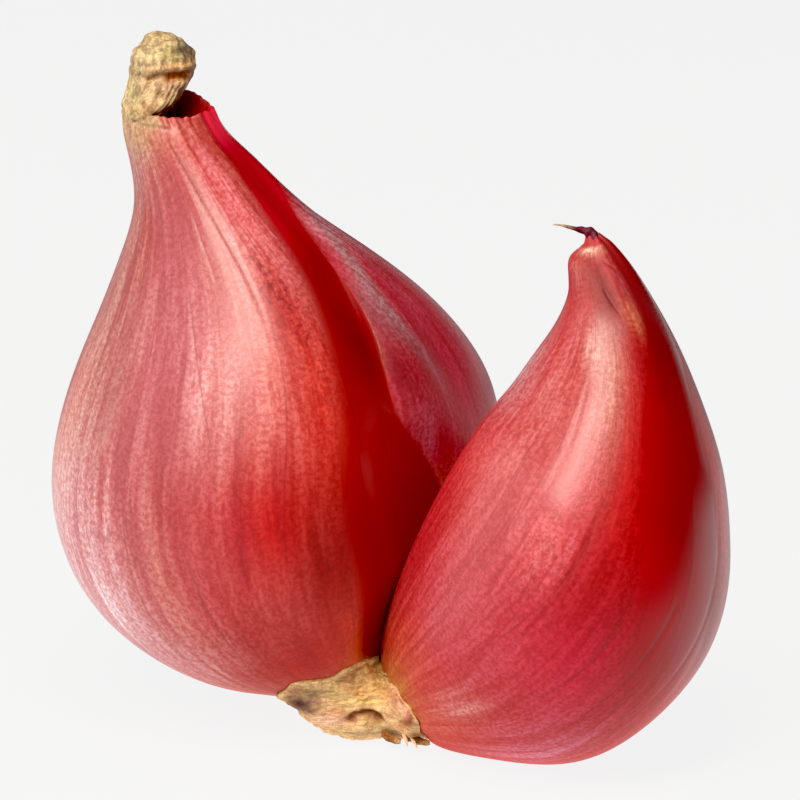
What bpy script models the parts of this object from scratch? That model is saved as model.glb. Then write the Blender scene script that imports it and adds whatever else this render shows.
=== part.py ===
"""Double pink shallot: two bulbs grown from one corky root plate, standing on its trimmed face.

Blender units are metres, +Z is up, and the origin is the middle of the root plate's flat face.
Every size in this file is in millimetres, and solid() turns it into metres.
"""
import bmesh
import bpy
import numpy as np

# ---------------------------------------------------------------- driving dimensions, mm
METRES = 0.001            # one millimetre in metres
CLEARANCE = 0.3           # gap that neighbouring pieces keep

# Each row is one ring round a bulb, from the root plate upwards: the left edge (x, z),
# the right edge (x, z), the y of the ring's middle, and half its depth along y.
LARGE_BULB_ROWS = [
    (-3.7, 2.0, -0.6, 3.0, -0.2, 2.0),
    (-7.6, 3.1, 1.2, 6.9, 0.5, 5.0),
    (-14.2, 4.0, 6.2, 11.3, 2.0, 11.3),
    (-21.4, 7.1, 10.2, 16.2, 3.4, 16.3),
    (-27.1, 13.1, 12.7, 21.5, 4.3, 18.9),
    (-29.3, 22.3, 13.1, 27.5, 4.7, 19.6),
    (-27.6, 31.4, 11.3, 32.9, 4.6, 18.0),
    (-24.9, 38.2, 7.0, 38.6, 4.3, 15.0),
    (-22.7, 43.8, 0.7, 43.7, 4.0, 11.3),
    (-21.4, 48.4, -5.7, 48.1, 3.6, 8.0),
    (-21.6, 52.3, -10.3, 52.3, 3.2, 5.6),
    (-22.1, 54.9, -12.9, 55.0, 3.0, 4.4),
    (-22.3, 56.9, -14.2, 57.3, 3.0, 3.6),
]
SMALL_BULB_ROWS = [
    (1.6, 4.6, 4.2, 1.9, -2.2, 2.0),
    (0.6, 8.6, 6.2, -0.1, -3.6, 5.5),
    (1.1, 13.7, 10.9, -0.3, -6.2, 9.0),
    (2.7, 19.3, 17.9, 0.3, -8.8, 12.2),
    (4.9, 24.6, 24.1, 4.0, -10.8, 14.0),
    (7.4, 29.3, 29.2, 10.2, -11.9, 14.8),
    (9.9, 33.0, 31.4, 16.6, -12.2, 14.2),
    (12.1, 35.3, 31.6, 22.0, -12.0, 12.6),
    (14.0, 37.8, 30.9, 27.8, -11.7, 10.6),
    (15.7, 40.5, 29.1, 33.5, -11.2, 8.2),
    (16.7, 43.1, 26.9, 38.7, -10.8, 5.9),
    (17.1, 45.2, 24.7, 42.9, -10.4, 4.2),
    (17.2, 46.8, 22.6, 46.0, -10.2, 2.8),
    (18.1, 48.0, 20.8, 48.0, -10.0, 1.3),
]
LARGE_RINGS, LARGE_SIDES = 34, 44
SMALL_RINGS, SMALL_SIDES = 30, 38

# The long shallow groove down the large bulb's right front, where a second heart shows.
GROOVE_ANGLE, GROOVE_WIDTH = -27.0, 36.0      # degrees round the bulb
GROOVE_ROW, GROOVE_SPAN = 5.6, 2.8            # middle and half length, in rows
GROOVE_DEPTH = 0.15                           # part of the bulb's radius

# The plane where the bulbs grew against each other; its normal points at the small bulb.
CONTACT_POINT = (1.2, -2.2, 7.0)
CONTACT_NORMAL = (0.775, -0.446, -0.447)
CONTACT_GAP, CONTACT_SOFTNESS = 0.2, 0.5      # each bulb's distance from it, edge rounding
FLOOR_SOFTNESS = 0.12                         # edge rounding of the spot under the small bulb

# The torn mouth of the neck: (part of the rim's size, depth below the rim) of each inner ring.
MOUTH_RINGS = [(0.76, 0.0), (0.72, 1.4), (0.66, 2.8), (0.52, 4.2), (0.28, 5.0)]
MOUTH_LEAN = 0.15                             # mm to the right for each mm down

# The root plate: (height, half width along x, half depth along y), flared upwards.
PLATE_ROWS = [(0.0, 4.3, 3.5), (0.5, 4.9, 4.2), (1.8, 5.8, 5.0), (3.2, 6.9, 5.7), (4.2, 7.6, 5.9)]
PLATE_SIDES = 40
PLATE_CREST = 4.6                             # rise of the two crests between the bulbs
PLATE_FRONT_ANGLE, PLATE_BACK_ANGLE = -98.0, 33.0
PLATE_CREST_WIDTH = 24.0                      # degrees

# The dried neck, level rings from the mouth up: left x, right x, height, middle y, half depth.
NECK_ROWS = [
    (-20.0, -17.4, 54.6, 3.4, 1.1),
    (-20.4, -17.0, 56.2, 3.4, 1.6),
    (-20.7, -16.9, 57.3, 3.4, 1.9),
    (-22.2, -17.0, 58.0, 3.4, 2.5),
    (-22.5, -16.7, 58.7, 3.4, 2.8),
    (-22.4, -16.5, 59.6, 3.3, 2.8),
    (-22.2, -17.6, 60.5, 3.5, 2.5),
    (-22.0, -17.2, 61.1, 3.6, 2.4),
    (-21.8, -16.2, 61.9, 3.4, 2.6),
    (-21.6, -15.9, 63.0, 3.3, 2.7),
    (-21.2, -16.1, 64.1, 3.4, 2.4),
    (-20.2, -17.2, 64.9, 3.6, 1.6),
]
NECK_SIDES = 20

# Sweeps: centre points (x, y, z) and the radius at each.
WISP_PATH = [(20.2, -10.1, 48.9, 0.50), (18.9, -10.3, 49.3, 0.40), (17.6, -10.5, 49.6, 0.24),
             (16.3, -10.8, 49.9, 0.12)]
ROOT_PATHS = [
    [(2.6, -6.2, 1.5, 0.40), (3.5, -7.1, 1.2, 0.44), (4.4, -7.4, 0.8, 0.38), (5.4, -7.2, 0.6, 0.22)],
    [(0.9, -5.6, 1.3, 0.34), (1.4, -6.3, 0.9, 0.30), (2.3, -6.7, 0.6, 0.18)],
    [(3.0, 5.4, 2.0, 0.42), (3.6, 6.5, 1.5, 0.40), (4.7, 7.2, 0.7, 0.22)],
    [(0.2, 6.1, 2.2, 0.45), (0.1, 7.2, 1.5, 0.42), (-0.7, 8.3, 0.6, 0.22)],
    [(-2.9, 5.5, 2.0, 0.40), (-3.8, 6.4, 1.4, 0.38), (-5.0, 6.8, 0.7, 0.22)],
]
SWEEP_SIDES = 10
SWEEP_RINGS = 9

# The papery flap torn back at the small bulb's base: a sweep flattened across its path.
FLAP_PATH = [(1.6, -6.4, 6.0, 0.8), (2.1, -6.6, 4.5, 1.0), (2.6, -6.7, 3.2, 0.9)]
FLAP_FLATTENING = 0.25


# ---------------------------------------------------------------- shapes
def spline_through(rows, at):
    """Values of the natural cubic spline that passes through the rows at 0, 1, 2 and so on."""
    values = np.asarray(rows, dtype=float)
    count = len(values)
    system = np.eye(count)
    right = np.zeros_like(values)
    for row in range(1, count - 1):
        system[row, row - 1:row + 2] = (1.0, 4.0, 1.0)
        right[row] = 6.0 * (values[row - 1] - 2.0 * values[row] + values[row + 1])
    bend = np.linalg.solve(system, right)
    low = np.clip(np.floor(at).astype(int), 0, count - 2)
    after = (at - low)[:, None]
    before = 1.0 - after
    straight = before * values[low] + after * values[low + 1]
    return straight + ((before**3 - before) * bend[low] + (after**3 - after) * bend[low + 1]) / 6.0


def bell(distance, width):
    """A smooth bump of height 1 that falls away over the width."""
    return np.exp(-(distance / width)**2)


def turn_apart(angles, middle):
    """Signed angle in degrees from the middle direction, between -180 and 180."""
    return (np.degrees(angles) - middle + 180.0) % 360.0 - 180.0


def loft(rows, ring_count, side_count, groove_depth=0.0):
    """Rings of points round a bulb; the angle runs from the right edge over the back."""
    at = np.linspace(0.0, len(rows) - 1.0, ring_count)
    left_x, left_z, right_x, right_z, middle_y, half_depth = spline_through(rows, at).T[:, :, None]
    angle = np.linspace(0.0, 2.0 * np.pi, side_count, endpoint=False)[None]
    away = turn_apart(angle, GROOVE_ANGLE)
    groove = bell(away, GROOVE_WIDTH) * bell(at[:, None] - GROOVE_ROW, GROOVE_SPAN)
    reach = 1.0 - groove_depth * groove
    across, along = np.cos(angle) * reach, np.sin(angle) * reach
    x = (left_x + right_x) / 2.0 + (right_x - left_x) / 2.0 * across
    z = (left_z + right_z) / 2.0 + (right_z - left_z) / 2.0 * across
    return np.stack([x, middle_y + half_depth * along, z], axis=-1)


def press_flat(rings, point, normal, limit, softness):
    """Push points that lie beyond the plane back to the limit, with a rounded edge."""
    normal = np.asarray(normal, dtype=float)
    normal /= np.linalg.norm(normal)
    beyond = (rings - np.asarray(point)) @ normal
    kept = -softness * np.logaddexp(-beyond / softness, -limit / softness)
    return rings + (kept - beyond)[..., None] * normal


def large_bulb_rings():
    rings = loft(LARGE_BULB_ROWS, LARGE_RINGS, LARGE_SIDES, GROOVE_DEPTH)
    return press_flat(rings, CONTACT_POINT, CONTACT_NORMAL, -CONTACT_GAP, CONTACT_SOFTNESS)


def small_bulb_rings():
    rings = loft(SMALL_BULB_ROWS, SMALL_RINGS, SMALL_SIDES)
    towards_large = [-part for part in CONTACT_NORMAL]
    rings = press_flat(rings, CONTACT_POINT, towards_large, -CONTACT_GAP, CONTACT_SOFTNESS)
    return press_flat(rings, (0.0, 0.0, 0.0), (0.0, 0.0, -1.0), 0.0, FLOOR_SOFTNESS)


def mouth_rings(rim):
    """The pocket inside the torn neck, carried on from the rim's own ring."""
    middle = rim.mean(axis=0)
    return [middle + (rim - middle) * size + np.array([MOUTH_LEAN * depth, 0.0, -depth])
            for size, depth in MOUTH_RINGS]


def swell(rings, distance):
    """The same shape grown by the distance on every side, its two ends included."""
    round_it = np.roll(rings, -1, axis=1) - np.roll(rings, 1, axis=1)
    outwards = np.cross(round_it, np.gradient(rings, axis=0))
    outwards /= np.linalg.norm(outwards, axis=-1, keepdims=True)
    grown = rings + outwards * distance
    first_step = grown[0].mean(axis=0) - grown[1].mean(axis=0)
    last_step = grown[-1].mean(axis=0) - grown[-2].mean(axis=0)
    first = grown[0] + first_step / np.linalg.norm(first_step) * distance
    last = grown[-1] + last_step / np.linalg.norm(last_step) * distance
    return np.concatenate([first[None], grown, last[None]])


def root_plate_rings():
    """Level rings that flare upwards, then crests that rise in the two clefts of the bulbs."""
    angle = np.linspace(0.0, 2.0 * np.pi, PLATE_SIDES, endpoint=False)
    crest = bell(turn_apart(angle, PLATE_FRONT_ANGLE), PLATE_CREST_WIDTH)
    crest = crest + bell(turn_apart(angle, PLATE_BACK_ANGLE), PLATE_CREST_WIDTH)
    rings = [np.stack([half_x * np.cos(angle), half_y * np.sin(angle), np.full_like(angle, height)],
                      axis=-1) for height, half_x, half_y in PLATE_ROWS]
    top = rings[-1]
    for size, rise in ((0.94, 0.9), (0.8, 1.0), (0.4, 0.5)):
        lifted = top * np.array([size, size, 1.0])
        lifted[:, 2] += PLATE_CREST * rise * crest
        rings.append(lifted)
    return np.array(rings)


def level_rings(rows, side_count):
    """Level oval rings stacked up; each row is left x, right x, z, middle y, half depth."""
    angle = np.linspace(0.0, 2.0 * np.pi, side_count, endpoint=False)
    return [np.stack([(left + right) / 2.0 + (right - left) / 2.0 * np.cos(angle),
                      middle + half_depth * np.sin(angle), np.full_like(angle, height)], axis=-1)
            for left, right, height, middle, half_depth in rows]


def sweep(path, flattening=1.0):
    """Round rings carried along a smooth path; flattening squashes them front to back."""
    at = np.linspace(0.0, len(path) - 1.0, SWEEP_RINGS)
    centre_and_radius = spline_through(path, at)
    centre, radius = centre_and_radius[:, :3], centre_and_radius[:, 3:]
    ahead = np.gradient(centre, axis=0)
    ahead /= np.linalg.norm(ahead, axis=1, keepdims=True)
    across = np.cross(ahead, (0.0, 1.0, 0.0))
    across /= np.linalg.norm(across, axis=1, keepdims=True)
    other = np.cross(ahead, across) * flattening
    angle = np.linspace(0.0, 2.0 * np.pi, SWEEP_SIDES, endpoint=False)[None, :, None]
    around = np.cos(angle) * across[:, None] + np.sin(angle) * other[:, None]
    return centre[:, None] + radius[:, None] * around


# ---------------------------------------------------------------- solids
def skin_material(name, colour, roughness):
    material = bpy.data.materials.new(name)
    material.use_nodes = True
    shader = material.node_tree.nodes["Principled BSDF"]
    shader.inputs["Base Color"].default_value = (*colour, 1.0)
    shader.inputs["Roughness"].default_value = roughness
    shader.inputs["Metallic"].default_value = 0.0
    return material


def solid(name, rings, material=None):
    """One closed object from rings of points: bands between the rings and a fan at each end."""
    mesh_data = bmesh.new()
    loops = [[mesh_data.verts.new(point * METRES) for point in ring] for ring in rings]
    for lower, upper in zip(loops, loops[1:]):
        for here in range(len(lower)):
            after = (here + 1) % len(lower)
            mesh_data.faces.new((lower[here], lower[after], upper[after], upper[here]))
    for loop, ring in ((loops[0], rings[0]), (loops[-1], rings[-1])):
        centre = mesh_data.verts.new(np.mean(ring, axis=0) * METRES)
        for here in range(len(loop)):
            mesh_data.faces.new((loop[here], loop[(here + 1) % len(loop)], centre))
    bmesh.ops.recalc_face_normals(mesh_data, faces=mesh_data.faces)
    mesh = bpy.data.meshes.new(name)
    mesh_data.to_mesh(mesh)
    mesh_data.free()
    mesh.shade_smooth()
    if material:
        mesh.materials.append(material)
    piece = bpy.data.objects.new(name, mesh)
    bpy.context.collection.objects.link(piece)
    return piece


def cutter(name, rings):
    """A guide solid, grown by the clearance, that other pieces are cut away from."""
    guide = solid(name, swell(rings, CLEARANCE))
    guide.hide_render = True
    guide.display_type = "WIRE"
    return guide


def cut_away(piece, guides):
    for guide in guides:
        boolean = piece.modifiers.new("clear of " + guide.name, "BOOLEAN")
        boolean.operation = "DIFFERENCE"
        boolean.solver = "EXACT"
        boolean.object = guide


# ---------------------------------------------------------------- pieces
for old in list(bpy.data.objects):
    bpy.data.objects.remove(old)

large_rings = large_bulb_rings()
small_rings = small_bulb_rings()
plate_rings = root_plate_rings()

bulb_guides = [cutter("large_bulb_guide", large_rings), cutter("small_bulb_guide", small_rings)]
plate_guide = cutter("root_plate_guide", plate_rings)

large_bulb_skin = skin_material("large_bulb_skin", (0.55, 0.06, 0.06), 0.38)
solid("large_bulb", [*large_rings, *mouth_rings(large_rings[-1])], large_bulb_skin)

small_bulb_skin = skin_material("small_bulb_skin", (0.52, 0.03, 0.05), 0.36)
solid("small_bulb", small_rings, small_bulb_skin)

corky_plate = skin_material("corky_plate", (0.68, 0.50, 0.27), 0.85)
cut_away(solid("root_plate", plate_rings, corky_plate), bulb_guides)

straw_neck = skin_material("straw_neck", (0.55, 0.43, 0.25), 0.80)
solid("dried_neck", level_rings(NECK_ROWS, NECK_SIDES), straw_neck)

papery_wisp = skin_material("papery_wisp", (0.42, 0.20, 0.16), 0.60)
solid("tip_wisp", sweep(WISP_PATH), papery_wisp)

papery_flap = skin_material("papery_flap", (0.80, 0.52, 0.46), 0.60)
cut_away(solid("base_skin_flap", sweep(FLAP_PATH, FLAP_FLATTENING), papery_flap),
         [*bulb_guides, plate_guide])

for number, path in enumerate(ROOT_PATHS, start=1):
    dried_root = skin_material("dried_root_" + str(number), (0.40, 0.24, 0.10), 0.85)
    cut_away(solid("root_stub_" + str(number), sweep(path), dried_root),
             [*bulb_guides, plate_guide])
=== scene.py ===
"""Looks of a double pink shallot: papery bulb skins, corky root plate, dried neck and roots.

Shapes are worked out in millimetres, as in the part's own construction, and put_mesh() turns
them into metres. The frame is +Z up, with the small bulb towards +X and the front towards -Y.
"""
import bpy
import numpy as np
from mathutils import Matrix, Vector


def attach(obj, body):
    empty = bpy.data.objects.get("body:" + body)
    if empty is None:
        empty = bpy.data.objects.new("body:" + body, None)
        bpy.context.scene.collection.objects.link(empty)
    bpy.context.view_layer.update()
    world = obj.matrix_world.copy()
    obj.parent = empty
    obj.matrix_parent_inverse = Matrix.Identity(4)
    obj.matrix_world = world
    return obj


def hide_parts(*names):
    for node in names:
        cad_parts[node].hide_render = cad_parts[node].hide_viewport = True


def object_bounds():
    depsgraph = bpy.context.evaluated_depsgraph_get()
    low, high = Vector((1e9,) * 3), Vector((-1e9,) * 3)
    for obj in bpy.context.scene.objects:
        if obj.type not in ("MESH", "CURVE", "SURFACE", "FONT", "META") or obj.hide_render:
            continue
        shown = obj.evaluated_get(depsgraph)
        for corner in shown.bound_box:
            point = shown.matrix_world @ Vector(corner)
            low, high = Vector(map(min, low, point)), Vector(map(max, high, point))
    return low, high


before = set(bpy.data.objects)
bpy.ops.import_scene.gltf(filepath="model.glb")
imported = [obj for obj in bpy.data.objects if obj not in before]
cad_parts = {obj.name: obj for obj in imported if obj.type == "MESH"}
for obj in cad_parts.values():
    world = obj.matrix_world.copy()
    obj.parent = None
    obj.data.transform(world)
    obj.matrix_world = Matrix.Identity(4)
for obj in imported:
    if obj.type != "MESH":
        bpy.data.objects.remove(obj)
cad_low, cad_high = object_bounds()


# ---------------- large bulb
# The tall bulb that leans left. Its dry papery skin is stretched over the flesh, ribbed by
# veins from the root plate to the neck, and gathered into puckers where the neck has dried.
MILLIMETRE = 0.001            # in metres

# Each row is one ring, from the root plate upwards: left edge (x, z), right edge (x, z),
# the y of the ring's middle, and half its depth along y.
LARGE_BULB_ROWS = [
    (-3.7, 2, -0.6, 3, -0.2, 2),
    (-7.6, 3.35, 1.2, 6.9, 0.5, 5),
    (-14.2, 4.35, 6.2, 11.3, 2, 11.3),
    (-21.2, 7.4, 10.2, 16.2, 3.4, 16.3),
    (-26.95, 13.35, 12.7, 21.5, 4.3, 18.9),
    (-29.3, 22.3, 13.1, 27.5, 4.7, 19.6),
    (-27.6, 31.4, 11.3, 32.9, 4.6, 18),
    (-24.9, 38.2, 6.7, 38.5, 4.3, 15),
    (-22.7, 43.8, 0.4, 43.5, 4, 11.3),
    (-21.4, 48.4, -5.9, 48, 3.6, 8),
    (-21.6, 52.3, -10.3, 52.3, 3.2, 5.6),
    (-22.1, 54.9, -12.9, 55, 3, 4.4),
    (-22.3, 56.9, -14.2, 57.3, 3, 3.6),
]
LARGE_RINGS, MOUTH_RINGS, LARGE_SIDES = 176, 22, 470
CONTACT_POINT = (1.2, -2.2, 7.0)
CONTACT_NORMAL = (0.775, -0.446, -0.447)
CONTACT_GAP, CONTACT_SOFTNESS = -0.06, 0.25
NO_LINE = 9.0                 # mm, further off than any vein or crease shows

# The long hollow at each row, in degrees: its bottom, with its depth in mm, the left and right
# edges of the smooth deep red strip that fills it, darkened with painted shade, and the crest to
# the right of it, along which a pale reflection is painted.
HOLLOW_ROWS = [
    (-50, 0, -70, -50, -12), (-46, 0, -70, -46, -12), (-42, 0.1, -70, -42, -12),
    (-38, 0.3, -71, -38, -12), (-36, 0.5, -72, -36, -12), (-41, 0.8, -74, -41, -12),
    (-57, 1, -72, -53, -27), (-52, 1, -68, -47, -36), (-40, 0.7, -61, -37, -27),
    (-20, 0.4, -51, -18, -5), (-14, 0.2, -43, 8, 4), (-6, 0.05, -40, 14, 4), (0, 0, -40, 14, 6),
]

# The torn mouth: (part of the rim's size, height above the rim) from the lip down the inside.
MOUTH_PROFILE = [(1, 0), (0.975, 0.1), (0.94, 0.05), (0.91, -0.35), (0.87, -1.2),
                 (0.82, -2.4), (0.74, -3.6), (0.5, -4.7), (0.12, -5.1)]

# Creases pressed in the skin: first (angle, row), last (angle, row), depth mm, half width mm.
# The deeper a crease, the darker the painted shade along its bottom.
LARGE_CREASES = [
    ((-95, 11.4), (-90, 6.9), 0.07, 0.24),
    ((-116, 8), (-104, 5.2), 0.05, 0.22),
    ((-104, 9.6), (-100, 7.6), 0.04, 0.22),
    ((-118, 4.8), (-109, 2.7), 0.06, 0.2),
    ((-128, 10.6), (-132, 6.6), 0.06, 0.3),
    ((-140, 9.8), (-146, 6), 0.05, 0.28),
    ((-152, 10.4), (-158, 5.4), 0.05, 0.3),
    ((-116, 4.4), (-96, 1.9), 0.05, 0.26),
    ((-132, 4.8), (-112, 2.6), 0.04, 0.26),
    ((170, 10.8), (176, 5.6), 0.06, 0.28),
    ((128, 10.9), (120, 5.8), 0.07, 0.3),
    ((96, 10.2), (92, 4.6), 0.06, 0.28),
    ((62, 11), (58, 6.4), 0.07, 0.28),
    ((28, 10.4), (24, 5.6), 0.06, 0.28),
]

# Where the torn lip stands higher or lower: height in mm, direction and half width in degrees.
LIP_TEARS = [(1.25, 85, 46), (0.55, -150, 28), (-0.25, -62, 40), (-0.15, 20, 30)]
# The fold just below the lip, where the neck bends over: its row and its direction.
NECK_FOLD_ROW, NECK_FOLD_SIDE = 11.55, -125.0

# Patches of skin colour: angle, row, half width in degrees, half height in rows, colour, amount.
LARGE_PATCHES = [
    (-160, 6.5, 30, 6, (0.37, 0.14, 0.114), 0.9),
    (-165, 5.6, 10, 1.2, (0.56, 0.16, 0.122), 0.7),
    # Paler pink at the bottom left: painted reflection of the pale floor.
    (-151, 4, 19, 1.2, (0.78, 0.43, 0.455), 0.9),
    (-120, 7, 22, 2.6, (0.4, 0.088, 0.12), 0.6),
    (-110, 9.2, 25, 1.2, (0.28, 0.005, 0.011), 0.7),
    (-112, 4.3, 22, 1.4, (0.38, 0.027, 0.031), 0.8),
    # Paler where the key light's highlight falls: painted highlight.
    (-90, 6.8, 13, 2.2, (0.6, 0.12, 0.11), 0.9),
    (-90, 4.8, 14, 0.8, (0.48, 0.001, 0.001), 0.92),
    (-76, 6.2, 9, 1.8, (0.65, 0.043, 0.03), 0.9),
    (-79, 4, 9, 1.2, (0.25, 0.001, 0.001), 1),
    # Pale pink on the ridge below the neck: painted highlight.
    (-70, 9.6, 14, 1.6, (0.76, 0.165, 0.18), 0.9),
    # Paler pink low on the left: painted reflection of the pale floor.
    (-138, 2.9, 26, 0.7, (0.5, 0.155, 0.158), 0.85),
    (-135, 5.7, 4, 0.9, (0.33, 0.034, 0.034), 0.7),
    (-122, 6, 4, 1.1, (0.29, 0.003, 0.008), 0.6),
    (-122, 4.4, 3, 0.8, (0.49, 0.12, 0.086), 0.6),
    (-101, 4.6, 5, 0.5, (0.32, 0.002, 0.012), 0.6),
    (-112, 2.5, 10, 0.4, (0.32, 0.01, 0.008), 0.7),
    (-84, 2.7, 16, 0.7, (0.37, 0.002, 0.001), 0.95),
    (-98, 2.55, 8, 0.4, (0.38, 0.001, 0.001), 0.9),
    (-73, 2.4, 9, 0.9, (0.62, 0.042, 0.001), 0.9),
    (-112, 1.5, 18, 0.6, (0.22, 0.004, 0.008), 0.6),
    (-101, 3.4, 9, 0.6, (0.29, 0.004, 0.006), 0.6),
    (-80, 11.6, 20, 1, (0.58, 0.096, 0.083), 0.8),
    (-142, 8.5, 13, 0.9, (0.28, 0.005, 0.005), 0.78),
    (-142, 6.1, 4, 1, (0.25, 0.02, 0.02), 0.6),
    (-138, 4.9, 10, 0.7, (0.58, 0.215, 0.217), 0.6),
    (-145, 10.7, 26, 0.7, (0.39, 0.2, 0.138), 0.6),
    # The next two pale patches are painted highlight.
    (-109, 6.4, 7, 0.75, (0.7, 0.28, 0.27), 0.6),
    (-82, 8.6, 6, 0.5, (0.76, 0.25, 0.25), 0.6),
    (-82, 7.55, 8, 0.45, (0.4, 0.004, 0.004), 0.6),
    (100, 6, 60, 4, (0.44, 0.055, 0.06), 0.7),
    (120, 1.2, 120, 1.2, (0.4, 0.04, 0.01), 0.6),
]
# The second heart behind the hollow: its own patches, of the same kind. The dark ones at -48, -43
# and -28 are painted shade, and the pale grey-pink one at -8 is a painted reflection of the light from the
# right.
HEART_PATCHES = [
    (-44, 5.8, 8, 0.7, (0.42, 0.065, 0.095), 0.9),
    (-48, 6.5, 5, 0.5, (0.2, 0.004, 0.012), 0.8),
    (-43, 7.5, 7, 0.8, (0.18, 0.01, 0.018), 0.85),
    (-8, 8.6, 14, 0.5, (0.55, 0.19, 0.23), 0.85),
    (-6, 7.4, 16, 0.7, (0.52, 0.055, 0.08), 0.8),
    (-28, 8.7, 7, 0.45, (0.32, 0.006, 0.016), 0.7),
    (40, 6.5, 24, 3, (0.42, 0.055, 0.065), 0.8),
]
# Dark freckles: angle, row, half width in degrees, half height in rows, amount.
LARGE_FRECKLES = [(-79, 8.0, 8, 0.7, 1.0), (-76, 7.0, 6, 1.0, 0.65), (-142, 4.8, 20, 0.7, 0.6)]
STRAW_SIDE, STRAW_HALF_WIDTH = -165.0, 62.0


def spline_through(rows, at):
    """Natural cubic spline through the rows, read at the given row numbers."""
    values = np.asarray(rows, dtype=float)
    count = len(values)
    system = np.eye(count)
    right = np.zeros_like(values)
    for row in range(1, count - 1):
        system[row, row - 1:row + 2] = (1.0, 4.0, 1.0)
        right[row] = 6.0 * (values[row - 1] - 2.0 * values[row] + values[row + 1])
    bend = np.linalg.solve(system, right)
    low = np.clip(np.floor(at).astype(int), 0, count - 2)
    after = (at - low)[:, None]
    before = 1.0 - after
    straight = before * values[low] + after * values[low + 1]
    return straight + ((before**3 - before) * bend[low] + (after**3 - after) * bend[low + 1]) / 6.0


def bell(distance, width):
    """A bump of height 1 whose height falls as exp(-(distance / width) squared)."""
    return np.exp(-(distance / width)**2)


def rise(value, start, end):
    """0 before start, 1 after end, and 3u^2 - 2u^3 of the part u of the way between them."""
    part = np.clip((value - start) / (end - start), 0.0, 1.0)
    return part * part * (3.0 - 2.0 * part)


def fall(value, start, end):
    """The reverse of rise: 1 before start and 0 after end."""
    return rise(-value, -end, -start)


def turn_apart(degrees, middle):
    """Signed angle from the middle direction, between -180 and 180 degrees."""
    return (degrees - middle + 180.0) % 360.0 - 180.0


def side(degrees, middle, half_width):
    """A bell round the ring, 1 in the middle direction; the half width is in degrees."""
    return bell(turn_apart(degrees, middle), half_width)


def spot(degrees, at, middle, row, half_width, half_height):
    """A bell round the ring times a bell from row to row, 1 at its middle."""
    return side(degrees, middle, half_width) * bell(at - row, half_height)


def ring_grid(last_row, rings, sides, start=0.0):
    """Directions round a ring in degrees, the rings' row numbers, and the same as a column."""
    rows_at = np.linspace(0.0, last_row, rings)
    return np.linspace(start, start + 360.0, sides, endpoint=False)[None], rows_at, rows_at[:, None]


def loft(rows, at, degrees, reach=1.0):
    """Ring points: middle + cos(angle) x half the edge-to-edge line + sin(angle) x half depth."""
    left_x, left_z, right_x, right_z, middle_y, half_depth = spline_through(rows, at).T[:, :, None]
    across = np.cos(np.radians(degrees)) * reach
    along = np.sin(np.radians(degrees)) * reach
    x = (left_x + right_x) / 2.0 + (right_x - left_x) / 2.0 * across
    z = (left_z + right_z) / 2.0 + (right_z - left_z) / 2.0 * across
    return np.stack([x, middle_y + half_depth * along, z], axis=-1)


def press_flat(points, point, normal, limit, softness):
    """Moves what lies beyond a plane back to the limit: -s log(exp(-d/s) + exp(-limit/s))."""
    normal = np.asarray(normal, dtype=float) / np.linalg.norm(normal)
    beyond = (points - np.asarray(point)) @ normal
    kept = -softness * np.logaddexp(-beyond / softness, -limit / softness)
    return points + (kept - beyond)[..., None] * normal


def outward_normals(points):
    """Cross product of the step round the ring and the step to the next ring, unit length."""
    round_it = np.roll(points, -1, axis=1) - np.roll(points, 1, axis=1)
    outwards = np.cross(round_it, np.gradient(points, axis=0))
    return outwards / (np.linalg.norm(outwards, axis=-1, keepdims=True) + 1e-9)


def ripples(degrees, waves, seed):
    """Sum of cosines round the ring with whole wave numbers and seeded phases, about -1 to 1."""
    draw = np.random.default_rng(seed)
    total = np.zeros_like(degrees)
    for wave in waves:
        height = draw.uniform(0.5, 1.0)
        total = total + height * np.cos(np.radians(degrees * wave) + draw.uniform(0, 6.3))
    return total / len(waves)**0.5


def nearest_line(so_far, away, strength):
    """Keeps, point by point, the signed distance and strength of whichever line lies nearer."""
    nearer = np.abs(away) < np.abs(so_far[0])
    return np.where(nearer, away, so_far[0]), np.where(nearer, strength, so_far[1])


def veins(degrees, at, count, last_row, girth, seed):
    """Fine lines near seeded directions, wandering slightly from row to row, faded at their ends."""
    draw = np.random.default_rng(seed)
    lines = (np.full(np.broadcast(degrees, at).shape, NO_LINE), 0.0)
    for number in range(count):
        middle = (number + draw.uniform(-0.38, 0.38)) * 360.0 / count
        wander = draw.uniform(0.8, 2.6) * np.sin(at * draw.uniform(0.3, 0.7) + draw.uniform(0, 6.3))
        start, end = draw.uniform(0.0, 3.0), draw.uniform(0.6, 1.0) * last_row
        strength = draw.uniform(0.0, 1.0)**2 * rise(at, start, start + 1.5) * fall(at, end - 1.5, end)
        away = np.radians(turn_apart(degrees, middle + wander)) * girth
        lines = nearest_line(lines, away, strength)
    return lines


def creases(degrees, at, rows, girth):
    """Pressed lines, each a bell across a straight run of angle over row, faded at its ends."""
    depth_map = 0.0
    lines = (np.full(np.broadcast(degrees, at).shape, NO_LINE), 0.0)
    for (first_angle, first_row), (last_angle, last_row), depth, half_width in rows:
        part = (at - first_row) / (last_row - first_row)
        bow = 2.5 * np.sin(3.1 * part + first_angle)
        middle = first_angle + (last_angle - first_angle) * part + bow
        away = np.radians(turn_apart(degrees, middle)) * girth
        along = rise(part, 0.0, 0.25) * fall(part, 0.7, 1.0)
        depth_map = depth_map + depth * bell(away, half_width) * along
        lines = nearest_line(lines, away, along * min(1.0, depth / 0.07))
    return depth_map, lines


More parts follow.
